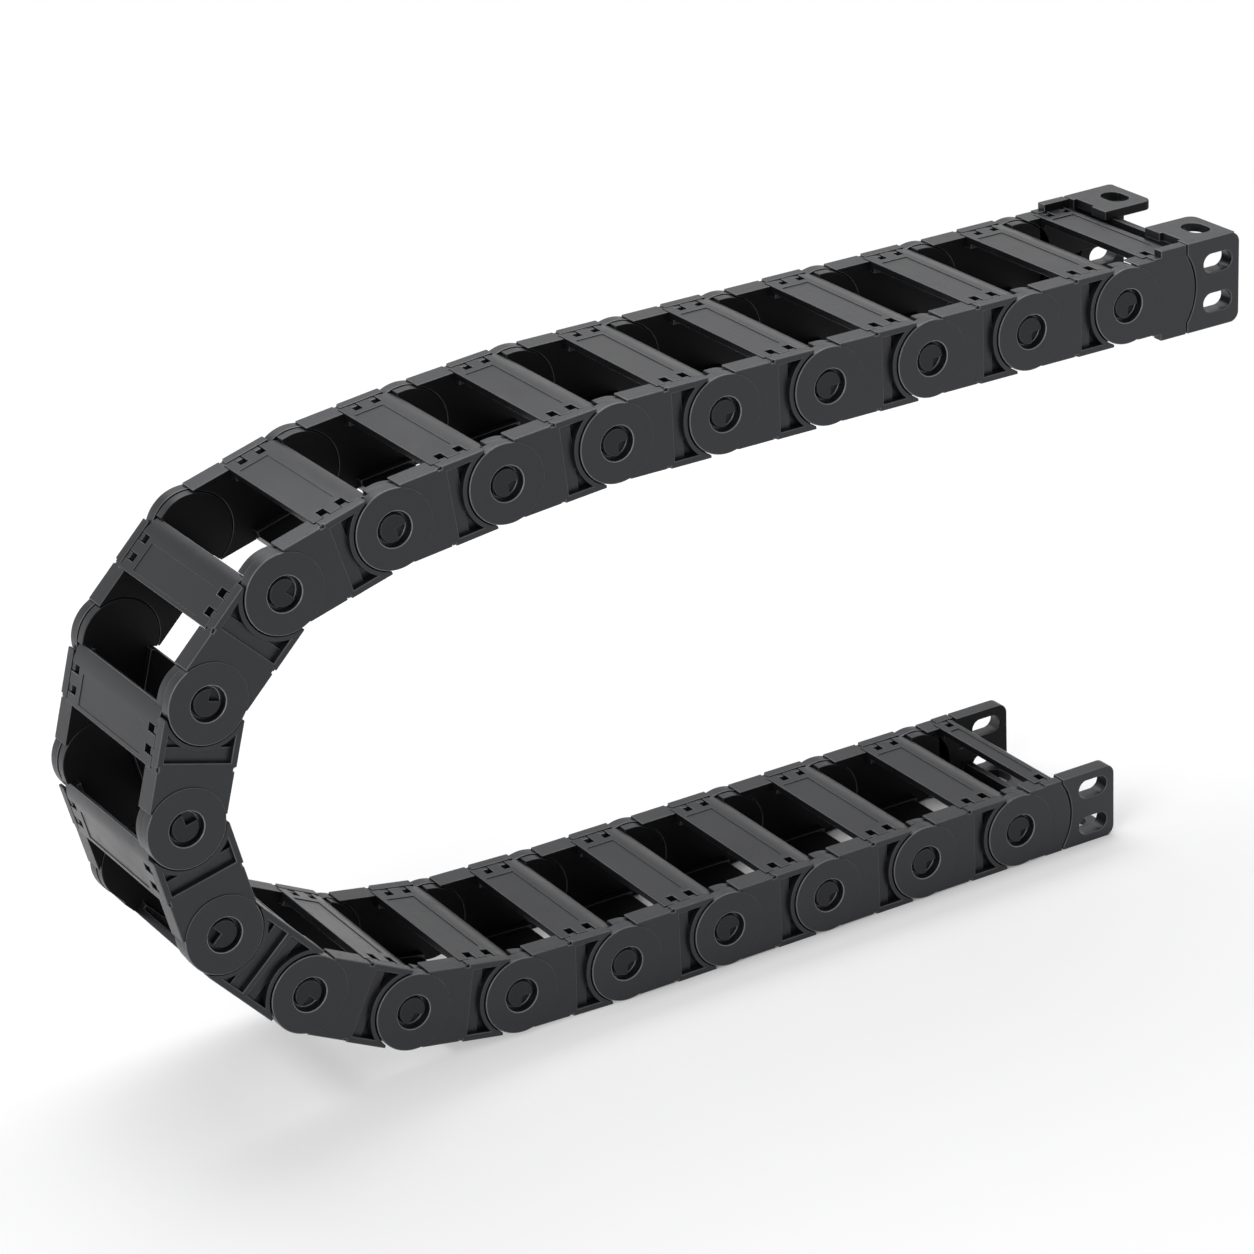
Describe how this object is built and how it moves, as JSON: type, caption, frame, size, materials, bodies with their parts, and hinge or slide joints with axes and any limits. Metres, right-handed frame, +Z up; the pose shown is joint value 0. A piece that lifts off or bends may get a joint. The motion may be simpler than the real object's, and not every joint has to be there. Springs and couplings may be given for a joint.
{
  "type": "cable drag chain",
  "caption": "Cable drag chain of hinged plastic links with clip-in crossbars, bent into a U, with a slotted bracket at each end. It guides cables to a moving machine part.",
  "frame": {"origin": "on the floor, midway between the two foot slots of the fixed end bracket", "axes": "+X along the lower run towards the fixed end, +Y across the chain, +Z up"},
  "size_m": [0.4706, 0.078, 0.2372],
  "materials": {
    "side_plate_nylon": "satin black moulded nylon",
    "crossbar_nylon": "satin black moulded nylon, finely grained",
    "bracket_nylon": "satin black moulded nylon"
  },
  "bodies": {
    "fixed_end": {"fixed_end_bracket_left": "bracket_nylon", "fixed_end_bracket_right": "bracket_nylon", "fixed_end_crossbars": "crossbar_nylon", "fixed_end_plate_left": "side_plate_nylon", "fixed_end_plate_right": "side_plate_nylon", "fixed_end_tie": "bracket_nylon"},
    "link_19": {"link_19_side_plates": "side_plate_nylon", "link_19_crossbars": "crossbar_nylon"},
    "link_18": {"link_18_side_plates": "side_plate_nylon", "link_18_crossbars": "crossbar_nylon"},
    "link_17": {"link_17_side_plates": "side_plate_nylon", "link_17_crossbars": "crossbar_nylon"},
    "link_16": {"link_16_side_plates": "side_plate_nylon", "link_16_crossbars": "crossbar_nylon"},
    "link_15": {"link_15_side_plates": "side_plate_nylon", "link_15_crossbars": "crossbar_nylon"},
    "link_14": {"link_14_side_plates": "side_plate_nylon", "link_14_crossbars": "crossbar_nylon"},
    "link_13": {"link_13_side_plates": "side_plate_nylon", "link_13_crossbars": "crossbar_nylon"},
    "link_12": {"link_12_side_plates": "side_plate_nylon", "link_12_crossbars": "crossbar_nylon"},
    "link_11": {"link_11_side_plates": "side_plate_nylon", "link_11_crossbars": "crossbar_nylon"},
    "link_10": {"link_10_side_plates": "side_plate_nylon", "link_10_crossbars": "crossbar_nylon"},
    "link_09": {"link_09_side_plates": "side_plate_nylon", "link_09_crossbars": "crossbar_nylon"},
    "link_08": {"link_08_side_plates": "side_plate_nylon", "link_08_crossbars": "crossbar_nylon"},
    "link_07": {"link_07_side_plates": "side_plate_nylon", "link_07_crossbars": "crossbar_nylon"},
    "link_06": {"link_06_side_plates": "side_plate_nylon", "link_06_crossbars": "crossbar_nylon"},
    "link_05": {"link_05_side_plates": "side_plate_nylon", "link_05_crossbars": "crossbar_nylon"},
    "link_04": {"link_04_side_plates": "side_plate_nylon", "link_04_crossbars": "crossbar_nylon"},
    "link_03": {"link_03_side_plates": "side_plate_nylon", "link_03_crossbars": "crossbar_nylon"},
    "link_02": {"link_02_side_plates": "side_plate_nylon", "link_02_crossbars": "crossbar_nylon"},
    "link_01": {"link_01_side_plates": "side_plate_nylon", "link_01_crossbars": "crossbar_nylon"},
    "moving_end": {"moving_end_bracket_left": "bracket_nylon", "moving_end_bracket_right": "bracket_nylon", "moving_end_crossbars": "crossbar_nylon", "moving_end_plate_left": "side_plate_nylon", "moving_end_plate_right": "side_plate_nylon", "moving_end_tie": "bracket_nylon"}
  },
  "joints": [
    {"name": "pin_20", "type": "hinge", "parent": "fixed_end", "child": "link_19", "pos_m": [-0.0357, 0, 0.0153], "axis": [0, 1, 0], "range_deg": [0, 30]},
    {"name": "pin_19", "type": "hinge", "parent": "link_19", "child": "link_18", "pos_m": [-0.0807, 0, 0.0153], "axis": [0, -1, 0], "range_deg": [-30, 0]},
    {"name": "pin_18", "type": "hinge", "parent": "link_18", "child": "link_17", "pos_m": [-0.1257, 0, 0.0153], "axis": [0, 1, 0], "range_deg": [0, 30]},
    {"name": "pin_17", "type": "hinge", "parent": "link_17", "child": "link_16", "pos_m": [-0.1707, 0, 0.0153], "axis": [0, -1, 0], "range_deg": [-30, 0]},
    {"name": "pin_16", "type": "hinge", "parent": "link_16", "child": "link_15", "pos_m": [-0.2157, 0, 0.0153], "axis": [0, 1, 0], "range_deg": [-2, 28]},
    {"name": "pin_15", "type": "hinge", "parent": "link_15", "child": "link_14", "pos_m": [-0.26067, 0, 0.01687], "axis": [0, -1, 0], "range_deg": [-22, 8]},
    {"name": "pin_14", "type": "hinge", "parent": "link_14", "child": "link_13", "pos_m": [-0.30499, 0, 0.02468], "axis": [0, 1, 0], "range_deg": [-17, 13]},
    {"name": "pin_13", "type": "hinge", "parent": "link_13", "child": "link_12", "pos_m": [-0.34508, 0, 0.04511], "axis": [0, -1, 0], "range_deg": [-9, 21]},
    {"name": "pin_12", "type": "hinge", "parent": "link_12", "child": "link_11", "pos_m": [-0.3752, 0, 0.07856], "axis": [0, 1, 0], "range_deg": [-29, 1]},
    {"name": "pin_11", "type": "hinge", "parent": "link_11", "child": "link_10", "pos_m": [-0.38532, 0, 0.1224], "axis": [0, -1, 0], "range_deg": [-1, 29]},
    {"name": "pin_10", "type": "hinge", "parent": "link_10", "child": "link_09", "pos_m": [-0.37291, 0, 0.16566], "axis": [0, 1, 0], "range_deg": [-29, 1]},
    {"name": "pin_09", "type": "hinge", "parent": "link_09", "child": "link_08", "pos_m": [-0.34109, 0, 0.19748], "axis": [0, -1, 0], "range_deg": [-1, 29]},
    {"name": "pin_08", "type": "hinge", "parent": "link_08", "child": "link_07", "pos_m": [-0.29784, 0, 0.20988], "axis": [0, 1, 0], "range_deg": [-9, 21]},
    {"name": "pin_07", "type": "hinge", "parent": "link_07", "child": "link_06", "pos_m": [-0.25317, 0, 0.21537], "axis": [0, -1, 0], "range_deg": [-28, 2]},
    {"name": "pin_06", "type": "hinge", "parent": "link_06", "child": "link_05", "pos_m": [-0.20834, 0, 0.21929], "axis": [0, 1, 0], "range_deg": [-5, 25]},
    {"name": "pin_05", "type": "hinge", "parent": "link_05", "child": "link_04", "pos_m": [-0.16334, 0, 0.21929], "axis": [0, -1, 0], "range_deg": [-30, 0]},
    {"name": "pin_04", "type": "hinge", "parent": "link_04", "child": "link_03", "pos_m": [-0.11834, 0, 0.21929], "axis": [0, 1, 0], "range_deg": [0, 30]},
    {"name": "pin_03", "type": "hinge", "parent": "link_03", "child": "link_02", "pos_m": [-0.07334, 0, 0.21929], "axis": [0, -1, 0], "range_deg": [-30, 0]},
    {"name": "pin_02", "type": "hinge", "parent": "link_02", "child": "link_01", "pos_m": [-0.02834, 0, 0.21929], "axis": [0, 1, 0], "range_deg": [0, 30]},
    {"name": "pin_01", "type": "hinge", "parent": "link_01", "child": "moving_end", "pos_m": [0.01666, 0, 0.21929], "axis": [0, -1, 0], "range_deg": [-30, 0]}
  ]
}
